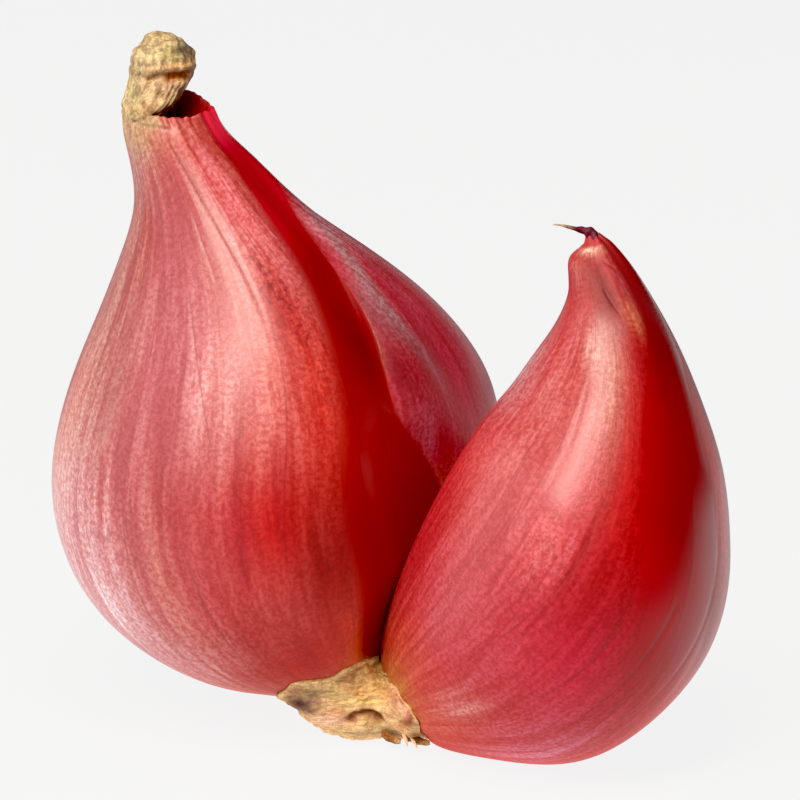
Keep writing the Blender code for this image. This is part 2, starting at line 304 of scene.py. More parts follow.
def skin_lines(degrees, rows_at, bulb_rows, crease_rows, vein_count, last_row, seed):
    """Height in mm of the raised veins less the pressed creases, and the lines of both."""
    at, girth = rows_at[:, None], spline_through(bulb_rows, rows_at)[:, 5:6]
    crease_depth, crease_lines = creases(degrees, at, crease_rows, girth)
    vein_lines = veins(degrees, at, vein_count, last_row, girth, seed)
    raised_veins = 0.008 * bell(vein_lines[0], 0.25) * vein_lines[1]
    return raised_veins - crease_depth, crease_lines, vein_lines


def laid_over(tone, colour, share):
    """A tone moved towards a colour by a share: tone + (colour - tone) x share."""
    return tone + (np.asarray(colour) - tone) * share[..., None]


def painted(tone, degrees, at, patches):
    """Each patch is laid over by its amount x bell across x bell along, in the order given."""
    tone = np.broadcast_to(tone, np.broadcast(degrees, at).shape + (3,))
    for *place, colour, amount in patches:
        tone = laid_over(tone, colour, amount * spot(degrees, at, *place))
    return tone


def new_object(name, data):
    """An object that shows a mesh, a light or the camera's data in the scene."""
    made = bpy.data.objects.new(name, data)
    bpy.context.collection.objects.link(made)
    return made


def put_mesh(name, points, marks, material, replaced=()):
    """Quads between neighbouring rings and sides, and a fan to the middle of each end ring."""
    rings, sides = points.shape[:2]
    vertices = np.concatenate([points.reshape(-1, 3), points[0].mean(axis=0)[None],
                               points[-1].mean(axis=0)[None]]) * MILLIMETRE
    index = np.arange(rings * sides).reshape(rings, sides)
    after = np.roll(index, -1, axis=1)
    quads = np.stack([index[:-1], after[:-1], after[1:], index[1:]], axis=-1).reshape(-1, 4)
    first = np.stack([after[0], index[0], np.full(sides, rings * sides)], axis=-1)
    last = np.stack([index[-1], after[-1], np.full(sides, rings * sides + 1)], axis=-1)
    mesh = bpy.data.meshes.new(name)
    mesh.from_pydata(vertices, [], [*quads.tolist(), *first.tolist(), *last.tolist()])
    for label, values in marks.items():
        flat = np.broadcast_to(values, points.shape[:2] + values.shape[2:]).reshape(rings * sides, -1)
        flat = np.concatenate([flat, flat[:sides].mean(axis=0)[None], flat[-sides:].mean(axis=0)[None]])
        kind, field = ("FLOAT", "value") if flat.shape[1] == 1 else ("FLOAT_VECTOR", "vector")
        attribute = mesh.attributes.new(label, kind, "POINT")
        attribute.data.foreach_set(field, flat.astype(np.float32).ravel())
    mesh.materials.append(material)
    mesh.shade_smooth()
    piece = new_object(name, mesh)
    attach(piece, "root")
    if replaced:
        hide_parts(*replaced)


degrees, rows_at, at = ring_grid(len(LARGE_BULB_ROWS) - 1.0, LARGE_RINGS, LARGE_SIDES)

# A long hollow down the right front, where a second heart swells the skin behind it. Its
# sharp bottom runs from the neck to the cleft, wide on the left and steep on the right.
hollow = spot(degrees, at, -27.0, 5.6, 36.0, 2.8)
large_points = loft(LARGE_BULB_ROWS, rows_at, degrees, 1.0 - 0.15 * hollow)
hollow_lines = spline_through(HOLLOW_ROWS, rows_at).T[:, :, None]
furrow_angle, furrow_depth, strip_left, strip_right, crest_angle = hollow_lines
from_furrow = turn_apart(degrees, furrow_angle)
furrow = furrow_depth * np.where(from_furrow < 0.0, bell(from_furrow, 24.0), bell(from_furrow, 8.0))
furrow = furrow - 0.45 * furrow_depth * bell(from_furrow - 20.0, 12.0)

# Heights in mm of what stands up from the skin or is pressed into it: veins and creases, broad
# ribs, the puckers gathered at the neck and at the base, and the frayed edge of the lip.
fine_relief, crease_lines, vein_lines = skin_lines(
    degrees, rows_at, LARGE_BULB_ROWS, LARGE_CREASES, vein_count=64, last_row=12.0, seed=11)
ribs = 0.1 * ripples(degrees, range(4, 10), 5) * rise(at, 1.5, 5.0)
neck_puckers = 0.08 * ripples(degrees, range(8, 23, 3), 7) * rise(at, 7.6, 11.4)
base_puckers = 0.15 * ripples(degrees, range(9, 23, 2), 8) * fall(at, 0.6, 2.2)
neck_fold = 0.14 * bell(at - NECK_FOLD_ROW, 0.09) * side(degrees, NECK_FOLD_SIDE, 36.0)
frayed = 0.07 * ripples(degrees + 9.0 * at, range(13, 41, 4), 12) * rise(at, NECK_FOLD_ROW, 11.75)
relief = fine_relief - furrow + ribs + neck_puckers + base_puckers - neck_fold + frayed
large_points = large_points + outward_normals(large_points) * relief[..., None]
large_points = press_flat(large_points, CONTACT_POINT, CONTACT_NORMAL, -CONTACT_GAP, CONTACT_SOFTNESS)

# The lip is torn: it stands highest at the back and in front of the dried neck.
tear = sum(height * side(degrees, middle, half_width) for height, middle, half_width in LIP_TEARS)
tear = tear + 0.07 * ripples(degrees, range(4, 13, 3), 9)
tear = tear + 0.05 * ripples(degrees, range(19, 40, 5), 10)
large_points[..., 2] += tear * rise(at, 11.0, 12.0)
rim = large_points[-1]
profile_at = np.linspace(0.0, len(MOUTH_PROFILE) - 1.0, MOUTH_RINGS + 1)[1:]
profile = spline_through(MOUTH_PROFILE, profile_at)
mouth = rim.mean(axis=0) + (rim - rim.mean(axis=0)) * profile[:, :1, None]
mouth[..., 2] += profile[:, 1:]
large_points = np.concatenate([large_points, mouth])


def marks_on_skin(degrees, at, inner_rings, crease_lines, vein_lines, **masks):
    """Point marks for the skin shader; rings inside the mouth carry on from the rim's own."""
    masks.update(crease_away=crease_lines[0], crease=crease_lines[1])
    masks.update(vein_away=vein_lines[0], vein=vein_lines[1])
    turn = np.radians(degrees)
    shape = (at.shape[0], degrees.shape[1])
    way = np.stack([np.broadcast_to(np.cos(turn), shape), np.broadcast_to(np.sin(turn), shape),
                    np.broadcast_to(at, shape)], axis=-1)
    marks = {"way": np.concatenate([way, np.repeat(way[-1:], inner_rings, axis=0)])}
    for label, values in masks.items():
        values = values if np.ndim(values) == 3 else np.broadcast_to(values, shape)[..., None]
        marks[label] = np.concatenate([values, np.repeat(values[-1:], inner_rings, axis=0)])
    inside = np.concatenate([np.zeros(shape[0]), np.linspace(0.5, 1.0, inner_rings)])[:, None, None]
    marks["inside"] = np.broadcast_to(inside, marks["way"].shape[:2] + (1,))
    return marks


# The smooth deep red strip in the hollow, rosier towards the neck and darkened with painted shade,
# deepest below and at one spot; the skin over the second heart beside it; and the pale reflection
# painted along that skin's crest.
past_strip = turn_apart(degrees, strip_right) / (1.0 + 3.0 * rise(at, 8.2, 9.0))
smooth = rise(turn_apart(degrees, strip_left), -6.0, 6.0) * fall(past_strip, -1.2, 0.8)
second_heart = rise(past_strip, -0.5, 1.5) * fall(turn_apart(degrees, 60.0), -40.0, 30.0)
second_heart = second_heart * rise(at, 4.7, 5.2) * fall(at, 10.4, 12.6)
painted_crest_reflection = side(degrees, crest_angle, 5.2) * rise(at, 5.6, 7.2) * fall(at, 8.8, 9.4)
pale_fold = bell(at - NECK_FOLD_ROW, 0.1) * side(degrees, NECK_FOLD_SIDE, 38.0)
tone = painted((0.4, 0.036, 0.029), degrees, at, LARGE_PATCHES)
# Painted shade darkens the strip, most below and at one spot; the crest's pale colour is a painted
# reflection.
for colour, share in (((0.32, 0.001, 0.002), smooth),
                      ((0.25, 0.001, 0.001), smooth * fall(at, 4.2, 5.8)),
                      ((0.52, 0.006, 0.02), smooth * rise(at, 8.0, 9.2)),
                      ((0.9, 0.036, 0.08), smooth * rise(at, 10.2, 11.6)),
                      ((0.2, 0.001, 0.001), smooth * spot(degrees, at, -54.0, 6.8, 9.0, 0.9)),
                      (painted((0.46, 0.02, 0.042), degrees, at, HEART_PATCHES), second_heart),
                      ((0.33, 0.15, 0.172), 0.85 * painted_crest_reflection),
                      ((0.34, 0.1, 0.07), 0.95 * pale_fold)):
    tone = laid_over(tone, colour, share)

# Straw-dry skin: streaked down the left of the neck, and whole round the foot of the dried neck.
striped = side(degrees, STRAW_SIDE, STRAW_HALF_WIDTH) * rise(at, 3.0, 5.5)
straw = rise(at, 9.8, 11.6) * side(degrees, STRAW_SIDE, STRAW_HALF_WIDTH)
from_left = turn_apart(degrees, 180.0)
by_the_neck = fall(from_left, 52.0, 104.0) * rise(from_left, -60.0, -30.0)
frayed_at = at + 0.1 * ripples(degrees, range(9, 44, 5), 13)
straw = np.maximum(straw, 2.0 * rise(frayed_at, 11.35, 11.75) * by_the_neck)
freckled = sum(amount * spot(degrees, at, *place) for *place, amount in LARGE_FRECKLES)
large_marks = marks_on_skin(degrees, at, MOUTH_RINGS, crease_lines, vein_lines, tone=tone, smooth=smooth,
                            striped=striped, straw=straw, dull=np.clip(straw, 0.0, 1.0), freckled=freckled)
down_the_mouth = np.concatenate([np.ones(LARGE_RINGS), np.linspace(1.0, 0.0, MOUTH_RINGS)])
large_marks["inside"] = large_marks["inside"] * (1.0 - by_the_neck * down_the_mouth[:, None])[..., None]


def feed(tree, made, inputs):
    """Gives each input of a node its plain value, or links a socket to it."""
    for key, value in inputs.items():
        if isinstance(value, bpy.types.NodeSocket):
            tree.links.new(value, made.inputs[key])
        else:
            made.inputs[key].default_value = value


def node(tree, kind, inputs=(), **settings):
    """Adds a shader node with the given settings and inputs."""
    made = tree.nodes.new(kind)
    for setting, value in settings.items():
        setattr(made, setting, value)
    feed(tree, made, dict(inputs))
    return made


def mark(tree, name, output="Fac"):
    """What a point mark on the piece holds: a number, a direction or a colour."""
    return node(tree, "ShaderNodeAttribute", attribute_name=name).outputs[output]


def streaks(tree, across, along, detail, distortion=0.0):
    """Noise drawn out from root to neck: fine across the way of the skin, long along it."""
    way = mark(tree, "way", "Vector")
    stretched = node(tree, "ShaderNodeMapping", {"Vector": way, "Scale": (across, across, along)})
    return node(tree, "ShaderNodeTexNoise", {"Vector": stretched.outputs[0], "Scale": 1.0,
                "Detail": detail, "Distortion": distortion}).outputs["Fac"]


def grain(tree, size, detail, roughness, stretch=(1.0, 1.0, 1.0)):
    """Noise in the object's own space with features of about the given size in millimetres."""
    place = node(tree, "ShaderNodeTexCoord").outputs["Object"]
    place = node(tree, "ShaderNodeMapping", {"Vector": place, "Scale": stretch}).outputs[0]
    return node(tree, "ShaderNodeTexNoise", {"Vector": place, "Scale": 1.0 / (size * MILLIMETRE),
                "Detail": detail, "Roughness": roughness}).outputs["Fac"]


def spread(tree, value, start, end, low=0.0, high=1.0):
    """Maps start..end to low..high along a smooth step, held at both ends."""
    return node(tree, "ShaderNodeMapRange", {"Value": value, "From Min": start, "From Max": end,
                "To Min": low, "To Max": high}, interpolation_type="SMOOTHSTEP").outputs["Result"]


def times(tree, first, second, operation="MULTIPLY"):
    """Multiplies two values, or joins them by another operation of the Math node."""
    return node(tree, "ShaderNodeMath", {0: first, 1: second}, operation=operation).outputs[0]


def layer(tree, amount, under, over, mode="MIX"):
    """Lays one colour over another by an amount."""
    under, over = ((*colour, 1.0) if isinstance(colour, tuple) else colour for colour in (under, over))
    return node(tree, "ShaderNodeMix", {0: amount, 6: under, 7: over}, data_type="RGBA",
                blend_type=mode).outputs[2]


def bump(tree, height, depth, under=None):
    """Relief of the given depth in millimetres, on top of the relief under it."""
    made = node(tree, "ShaderNodeBump", {"Height": height, "Distance": depth * MILLIMETRE})
    if under is not None:
        tree.links.new(under, made.inputs["Normal"])
    return made.outputs["Normal"]


def mottled(tree, colour, amount, red_step, pale_step):
    """The colour, darker where the amount is 0 and lighter where it is 1, by a step of its red and
    a step of its green and blue."""
    lighter = (1.0 + red_step, 1.0 + pale_step, 1.0 + pale_step)
    darker = (1.0 - red_step, 1.0 - pale_step, 1.0 - pale_step)
    light = layer(tree, 1.0, colour, lighter, "MULTIPLY")
    dark = layer(tree, 1.0, colour, darker, "MULTIPLY")
    return layer(tree, amount, dark, light)


def new_material(name):
    """An empty Principled material, its node tree and its shader node."""
    material = bpy.data.materials.new(name)
    material.use_nodes = True
    tree = material.node_tree
    return material, tree, tree.nodes["Principled BSDF"]


def fine_line(tree, name, half_width):
    """1 on the nearest line, 0 beyond its half width in mm, times the line's own strength."""
    away = times(tree, mark(tree, name + "_away"), 0.0, "ABSOLUTE")
    return times(tree, spread(tree, away, 0.0, half_width, 1.0, 0.0), mark(tree, name))


def bulb_skin(name):
    """Papery bulb skin: its painted tone, broken by streaks from root to neck and by fine cells."""
    material, tree, shader = new_material(name)
    broad = streaks(tree, 4.0, 0.22, 2.0, 0.3)
    middle = streaks(tree, 13.0, 0.45, 4.0, 0.4)
    thin = streaks(tree, 42.0, 1.6, 3.0)
    cells = grain(tree, 0.38, 2.0, 0.6)
    fleck = grain(tree, 0.75, 4.0, 0.74, (1.0, 1.0, 0.65))
    tone = mark(tree, "tone", "Color")

    # The smooth strips have a ragged edge; elsewhere the skin is papery, striped and mottled.
    ragged = times(tree, times(tree, middle, 0.5, "SUBTRACT"), 1.2)
    papery = spread(tree, times(tree, mark(tree, "smooth"), ragged, "ADD"), 0.25, 0.75, 1.0, 0.0)
    striped = times(tree, mark(tree, "striped"), spread(tree, broad, 0.34, 0.62, 0.1, 0.9))
    pale_stripe = times(tree, striped, spread(tree, middle, 0.52, 0.66, 0.0, 0.28))
    colour = layer(tree, pale_stripe, tone, (0.45, 0.16, 0.11))
    dark_stripe = times(tree, mark(tree, "striped"), spread(tree, middle, 0.34, 0.48, 0.6, 0.0))
    colour = layer(tree, dark_stripe, colour, (0.3, 0.03, 0.045))
    for pattern, start, end, red_step, pale_step in ((middle, 0.36, 0.64, 0.08, 0.34),
                                                     (cells, 0.36, 0.64, 0.11, 0.38),
                                                     (thin, 0.34, 0.66, 0.06, 0.2)):
        colour = mottled(tree, colour, spread(tree, pattern, start, end), red_step, pale_step)
    colour = layer(tree, papery, tone, colour)

    # Over it lie straw-dry husk, dark flecks, painted shade along the creases' bottoms, the veins' dark
    # lines, and the mouth's inside.
    straw = times(tree, mark(tree, "straw"), spread(tree, middle, 0.34, 0.58, 0.45, 1.15))
    straw = spread(tree, straw, 0.0, 1.0, 0.0, 1.0)
    husk = layer(tree, spread(tree, cells, 0.36, 0.64), (0.33, 0.185, 0.085), (0.52, 0.315, 0.165))
    colour = layer(tree, straw, colour, husk)
    dark_fleck = times(tree, mark(tree, "freckled"), spread(tree, fleck, 0.44, 0.64, 0.0, 0.8))
    colour = layer(tree, dark_fleck, colour, (0.23, 0.005, 0.009))
    crease_shade_line = times(tree, fine_line(tree, "crease", 0.16), 0.65)
    colour = layer(tree, crease_shade_line, colour, (0.2, 0.016, 0.02))
    vein_line = times(tree, fine_line(tree, "vein", 0.14), 0.45)
    colour = layer(tree, vein_line, colour, (0.22, 0.006, 0.016))
    colour = layer(tree, mark(tree, "inside"), colour, (0.34, 0.001, 0.002))
    papery_roughness = spread(tree, papery, 0.0, 1.0, 0.26, 0.38)
    dull_roughness = spread(tree, mark(tree, "dull"), 0.0, 1.0, 0.0, 0.28)
    roughness = times(tree, papery_roughness, dull_roughness, "ADD")
    relief = bump(tree, times(tree, cells, papery), 0.018, bump(tree, thin, 0.006))
    feed(tree, shader, {"Base Color": colour, "Roughness": roughness, "Specular IOR Level": 0.65,
                        "Normal": relief})
    return material


put_mesh("large_bulb_fine", large_points, large_marks, bulb_skin("large_bulb_papery_skin"),
         ["large_bulb"])


# ---------------- small bulb
# The lower bulb, curved like a horn away from the large one. Its skin is tighter and glossier,
# with long veins that sweep from the root plate up to the pinched tip.
SMALL_BULB_ROWS = [
    (1.6, 4.6, 4.2, 1.9, -2.2, 2),
    (0.6, 8.6, 6.2, -0.1, -3.6, 5.5),
    (1.1, 13.7, 10.9, -0.3, -6.2, 9),
    (2.7, 19.3, 17.9, 0.3, -8.8, 12.2),
    (4.9, 24.6, 24.1, 4, -10.8, 14),
    (7.4, 29.3, 29.2, 10.2, -11.9, 14.8),
    (9.9, 33, 31.4, 16.6, -12.2, 14.2),
    (12.1, 35.3, 31.6, 22, -12, 12.6),
    (14, 37.8, 30.9, 27.8, -11.7, 10.6),
    (15.9, 40.4, 29.1, 33.5, -11.2, 8.2),
    (17, 42.8, 26.9, 38.7, -10.8, 5.9),
    (17.3, 44.6, 24.6, 42.9, -10.4, 4.2),
    (17.3, 46.2, 22.8, 45.7, -10.2, 2.8),
    (18, 47.1, 21.3, 47.5, -10, 1.6),
    (18.6, 47.6, 20.6, 48.1, -10, 1),
    (18.8, 48.4, 19.9, 48.6, -10, 0.5),
]
SMALL_RINGS, SMALL_SIDES = 190, 420
FLOOR_SOFTNESS = 0.12
UNDER_FLOOR = (0.0, 0.0, -1.0)
SMALL_CREASES = [
    ((-84, 12.6), (-58, 11.8), 0.07, 0.16),
    ((-92, 12.9), (-84, 10.4), 0.12, 0.55),
    ((-97, 11.4), (-86, 10.5), 0.09, 0.15),
    ((-72, 4.2), (-75, 5.8), 0.04, 0.17),
    ((-124, 9.4), (-118, 4.6), 0.02, 0.28),
    ((-100, 6.4), (-106, 3.2), 0.04, 0.26),
    ((-70, 5.6), (-84, 3), 0.04, 0.26),
    ((-52, 6), (-64, 3.4), 0.05, 0.26),
    ((-30, 8), (-38, 4), 0.05, 0.28),
    ((10, 9.4), (6, 4.2), 0.05, 0.28),
    ((54, 9.6), (50, 4.4), 0.05, 0.28),
    ((96, 9), (100, 4.6), 0.05, 0.28),
    ((150, 9.8), (146, 5.2), 0.05, 0.28),
]
SMALL_PATCHES = [
    (-140, 7.5, 20, 3.5, (0.46, 0.088, 0.083), 0.8),
    # Pale: painted highlight.
    (-105, 8.8, 12, 1.6, (0.53, 0.155, 0.12), 0.9),
    (-110, 6.2, 12, 1.6, (0.58, 0.034, 0.052), 0.8),
    (-90, 7.5, 10, 2, (0.5, 0.001, 0.002), 0.8),
    (-60, 6, 16, 1.6, (0.61, 0.001, 0.002), 0.8),
    (-90, 3.2, 60, 1.2, (0.41, 0.048, 0.073), 0.6),
    (-70, 4.2, 30, 0.9, (0.62, 0.001, 0.038), 0.6),
    (-45, 2.8, 18, 1, (0.64, 0.21, 0.31), 0.6),
    (-140, 1.8, 30, 0.8, (0.5, 0.057, 0.03), 0.8),
    (-110, 1, 30, 0.6, (0.42, 0.21, 0.018), 0.7),
    (-72, 1.7, 22, 0.6, (0.47, 0.078, 0.056), 0.6),
    (-174, 7.5, 16, 1.2, (0.5, 0.25, 0.265), 0.8),
    (-120, 11.6, 50, 1.8, (0.27, 0.012, 0.01), 0.85),
    (-96, 11, 14, 0.8, (0.16, 0.003, 0.003), 0.75),
    (-22, 7.4, 14, 2, (0.85, 0.02, 0.026), 0.75),
    (-25, 11, 22, 1.4, (0.25, 0.01, 0.01), 0.85),
    # Nearly black at the right of the tip: painted shade.
    (10, 11, 22, 2.2, (0.08, 0.006, 0.007), 0.8),
    (-63, 11.6, 7, 0.8, (0.44, 0.06, 0.075), 0.7),
    (-70, 10.6, 12, 0.4, (0.56, 0.12, 0.065), 0.9),
    (-148, 11.7, 16, 0.8, (0.43, 0.098, 0.083), 0.7),
    (-115, 13.2, 45, 0.45, (0.6, 0.33, 0.25), 0.9),
    # Pale: painted highlight.
    (-113, 5.3, 10, 0.6, (0.74, 0.16, 0.17), 0.6),
    (-120, 6.2, 7, 0.5, (0.44, 0.004, 0.006), 0.5),
    # Pale: painted highlight.
    (-122, 9.4, 8, 0.5, (0.62, 0.33, 0.28), 0.6),
    (-88, 2.35, 10, 0.45, (0.55, 0.23, 0.2), 0.6),
    (60, 6, 60, 3.5, (0.42, 0.035, 0.045), 0.6),
]
# The left and right edges, in degrees at each row, of the smooth deep red strip on the right; towards
# the tip its red is darkened with painted shade.
SMALL_STRIP_ROWS = [(-40, -20), (-40, -20), (-40, -20), (-50, -20), (-58, -20), (-66, -24), (-74, -30),
                    (-80, -30), (-82, -31), (-78, -28), (-62, -14), (-52, -4), (-50, 0), (-50, 0),
                    (-50, 0), (-50, 0)]

degrees, rows_at, at = ring_grid(len(SMALL_BULB_ROWS) - 1.0, SMALL_RINGS, SMALL_SIDES)
small_points = loft(SMALL_BULB_ROWS, rows_at, degrees)
fine_relief, crease_lines, vein_lines = skin_lines(
    degrees, rows_at, SMALL_BULB_ROWS, SMALL_CREASES, vein_count=56, last_row=11.0, seed=23)
ribs = 0.07 * ripples(degrees, range(4, 10), 15) * rise(at, 1.5, 5.0)
tip_puckers = 0.05 * ripples(degrees, range(5, 10, 2), 17) * rise(at, 9.8, 12.4)
base_puckers = 0.12 * ripples(degrees, range(9, 20, 2), 18) * fall(at, 0.6, 2.2)
relief = fine_relief + ribs + tip_puckers + base_puckers
small_points = small_points + outward_normals(small_points) * relief[..., None]

# It is pressed flat against the large bulb below the free tip, and on the ground.
towards_large = [-part for part in CONTACT_NORMAL]
pressed = press_flat(small_points, CONTACT_POINT, towards_large, -CONTACT_GAP, CONTACT_SOFTNESS)
small_points = pressed + (small_points - pressed) * rise(at, 9.5, 11.0)[..., None]
small_points = press_flat(small_points, (0.0, 0.0, 0.0), UNDER_FLOOR, 0.0, FLOOR_SOFTNESS)

strip_left, strip_right = spline_through(SMALL_STRIP_ROWS, rows_at).T[:, :, None]
past_strip = turn_apart(degrees, strip_right)
smooth = rise(turn_apart(degrees, strip_left), -12.0, 8.0) * fall(past_strip, -8.0, 4.0)
smooth = smooth * rise(at, 3.6, 6.0)
tone = painted((0.41, 0.01, 0.014), degrees, at, SMALL_PATCHES)
# The strip's darker red towards the tip is painted shade.
for colour, share in (((0.4, 0.002, 0.003), smooth),
                      ((0.6, 0.004, 0.01), smooth * fall(at, 5.2, 7.2)),
                      ((0.29, 0.004, 0.006), smooth * rise(at, 8.6, 10.4))):
    tone = laid_over(tone, colour, share)
striped = 0.35 * side(degrees, 60.0, 60.0) * rise(at, 3.0, 7.0)
dull_tip = rise(at, 9.8, 11.0) * fall(degrees, 325.0, 345.0)
freckled = 0.5 * spot(degrees, at, -112.0, 5.0, 16.0, 1.4)
small_marks = marks_on_skin(degrees, at, 0, crease_lines, vein_lines, tone=tone, smooth=smooth,
                            striped=striped, dull=dull_tip, freckled=freckled)
put_mesh("small_bulb_fine", small_points, small_marks, bulb_skin("small_bulb_papery_skin"),
         ["small_bulb"])


# ---------------- root plate
# The corky disc that both bulbs grow from: dead root tissue, drawn up into the valley between
# them and along their undersides as a thin torn flange, with ridges, pits and a shrunken notch.
# Each row is one direction round the plate in degrees, then radius and height of five points
# from the flat underneath out to the torn edge.
PLATE_RIBS = [
    (-180, 3, 0.2, 4.6, 1, 6.2, 2.1, 7.4, 3.2, 8.2, 4),
    (-155, 3.9, 0.3, 5.7, 1.2, 7.2, 2.3, 8.2, 3.6, 8.9, 4.7),
    (-143, 4, 0.25, 5.9, 1.25, 7.6, 2.45, 8.8, 3.8, 10.6, 5.2),
    (-134.6, 4, 0.25, 5.9, 1.2, 7.8, 2.6, 9.6, 4.3, 11.2, 6),
    (-125.4, 3.9, 0.2, 5.8, 1.2, 7.9, 2.8, 10.1, 5, 11.9, 7.2),
    (-120.7, 3.8, 0.2, 5.8, 1.25, 7.7, 3, 9.6, 5.2, 11.2, 7.35),
    (-116, 3.7, 0.15, 5.7, 1.3, 7.5, 3.2, 9, 5.4, 10.2, 7.5),
    (-111.5, 3.6, 0.1, 5.5, 1.3, 7.2, 3.3, 8.5, 5.6, 9.6, 7.7),
    (-105.5, 3.6, 0.1, 5.4, 1.3, 7, 3.4, 8.3, 6, 9.6, 8.6),
    (-101, 3.5, 0.08, 5.3, 1.3, 6.9, 3.4, 7.9, 6.2, 8.35, 8.9),
    (-95, 3.5, 0.05, 5.2, 1.4, 6.6, 3.6, 7, 6.3, 6.2, 8.7),
    (-87.5, 3.5, 0.05, 5.2, 1.5, 6.4, 3.8, 6.3, 6.3, 4.6, 8.4),
    (-79, 3.5, 0.05, 5.2, 1.4, 6.6, 3.4, 6.9, 5.2, 5.8, 7),
    (-75.6, 3.5, 0.05, 5.3, 1.3, 7.1, 3, 8.3, 4.7, 8.9, 6.2),
    (-73.7, 3.5, 0.05, 5.4, 1.2, 7.6, 2.7, 9.3, 4.3, 10.3, 5.8),
    (-69.8, 3.4, 0.05, 5.5, 0.9, 7.8, 1.9, 9.7, 3.2, 11, 4.6),
    (-63.4, 3.3, 0.05, 5, 0.6, 7, 1.1, 8.7, 1.8, 10, 2.7),
    (-50, 2.8, 0.1, 4.4, 0.4, 5.6, 0.7, 6.4, 1.1, 7, 1.6),
    (-20, 2.8, 0.15, 4.2, 0.5, 5, 0.9, 5.6, 1.4, 6, 2.2),
    (10, 3, 0.25, 4.6, 0.9, 5.6, 1.9, 6.2, 3.2, 6.6, 4.6),
    (33, 3.2, 0.4, 5.2, 1.5, 6.6, 3.4, 7.2, 5.8, 6.8, 8.4),
    (55, 3.2, 0.4, 5.2, 1.5, 6.5, 3.2, 7, 4.8, 6.8, 6.4),
    (90, 3.2, 0.4, 4.9, 1.3, 5.8, 2.4, 6.2, 3.4, 6.4, 4.6),
    (140, 3.1, 0.3, 4.9, 1.2, 6.2, 2.2, 6.9, 3.2, 7.4, 4.2),
    (180, 3, 0.2, 4.6, 1, 6.2, 2.1, 7.4, 3.2, 8.2, 4),
]
PLATE_RINGS, PLATE_SIDES, PLATE_FLAT = 130, 560, 1.3
# Colours on the front: x, lifted height, half width, half height, colour, amount.
PLATE_PATCHES = [
    (-5.4, 4, 1.5, 0.55, (0.31, 0.215, 0.1), 0.9),
    (-6.6, 4.3, 0.6, 0.4, (0.33, 0.137, 0.077), 0.7),
    (-5.1, 3.1, 0.9, 0.35, (0.598, 0.304, 0.222), 0.8),
    (-5.6, 2.2, 0.6, 0.5, (0.2, 0.074, 0.055), 0.8),
    (-2.6, 5.1, 0.9, 0.4, (0.3, 0.12, 0.028), 0.9),
    (-1.5, 5.9, 0.7, 0.55, (0.46, 0.257, 0.093), 0.85),
    (0.1, 5.9, 0.9, 1.3, (0.95, 0.69, 0.27), 1),
    (-1.2, 4.2, 1.5, 0.5, (0.943, 0.608, 0.232), 0.8),
    (-1.2, 3.1, 1.6, 0.45, (0.897, 0.634, 0.232), 0.8),
    (0.8, 4.1, 0.6, 0.6, (0.667, 0.392, 0.132), 0.7),
    (-3.4, 2, 1, 0.5, (0.805, 0.36, 0.186), 0.8),
    (-4.2, 1.2, 1.1, 0.5, (0.95, 0.54, 0.383), 0.85),
    (-2.4, 1.2, 0.9, 0.5, (0.782, 0.385, 0.254), 0.8),
    (-0.5, 1, 0.8, 0.4, (0.7, 0.43, 0.2), 0.9),
    (0.8, 0.5, 0.8, 0.4, (0.52, 0.37, 0.17), 0.8),
    (1.8, -0.25, 1, 0.55, (0.17, 0.085, 0.036), 0.95),
    (-1, -0.2, 1.6, 0.25, (0.36, 0.23, 0.12), 0.7),
    (2.1, 3.4, 0.5, 1, (0.7, 0.3, 0.18), 0.85),
    (3.2, 1.2, 0.7, 0.6, (0.22, 0.06, 0.02), 1),
    (2.7, 0.7, 0.4, 0.35, (0.45, 0.15, 0.055), 0.8),
    (4, -0.1, 0.7, 0.5, (0.24, 0.095, 0.03), 0.9),
    (2.1, 3.3, 0.2, 0.7, (0.3, 0.08, 0.035), 0.7),
    (1.6, 3.8, 0.6, 0.5, (0.55, 0.22, 0.08), 0.6),
    (1.6, 2, 0.7, 0.6, (0.55, 0.25, 0.14), 0.6),
    (-3.4, 3.9, 0.8, 0.5, (0.42, 0.25, 0.09), 0.6),
    (-7, 3.9, 0.8, 0.6, (0.28, 0.09, 0.05), 0.7),
    (-6.5, 2.8, 1.3, 0.9, (0.045, 0.01, 0.016), 1),
]


def lumps(points, size, seed):
    """Uneven relief, about -1 to 1: a sum of seeded plane waves of about the given length in mm."""
    draw, count = np.random.default_rng(seed), 18
    ways = draw.normal(size=(count, 3))
    waves = 2.0 * np.pi / size * draw.uniform(0.6, 1.5, (count, 1))
    ways *= waves / np.linalg.norm(ways, axis=1, keepdims=True)
    return np.cos(points @ ways.T + draw.uniform(0.0, 6.3, count)).sum(axis=-1) / count**0.5


def clear_of(points, skin, gap):
    """Points less than the gap off the nearest skin point are moved out along its normal."""
    samples = skin[:60:2, ::4].reshape(-1, 3)
    ways = outward_normals(skin)[:60:2, ::4].reshape(-1, 3)
    moved = points.reshape(-1, 3).copy()
    gap = np.broadcast_to(gap, points.shape[:2]).ravel()
    for part in np.array_split(np.arange(len(moved)), 40):
        nearest = ((samples**2).sum(axis=1) - 2.0 * moved[part] @ samples.T).argmin(axis=1)
        off_skin = ((moved[part] - samples[nearest]) * ways[nearest]).sum(axis=1)
        moved[part] += np.maximum(gap[part] - off_skin, 0.0)[:, None] * ways[nearest]
    return moved.reshape(points.shape)


def lifted(points):
    """Height as seen from the front and a little above: z + a quarter of y."""
    return points[..., 2] + 0.25 * points[..., 1]


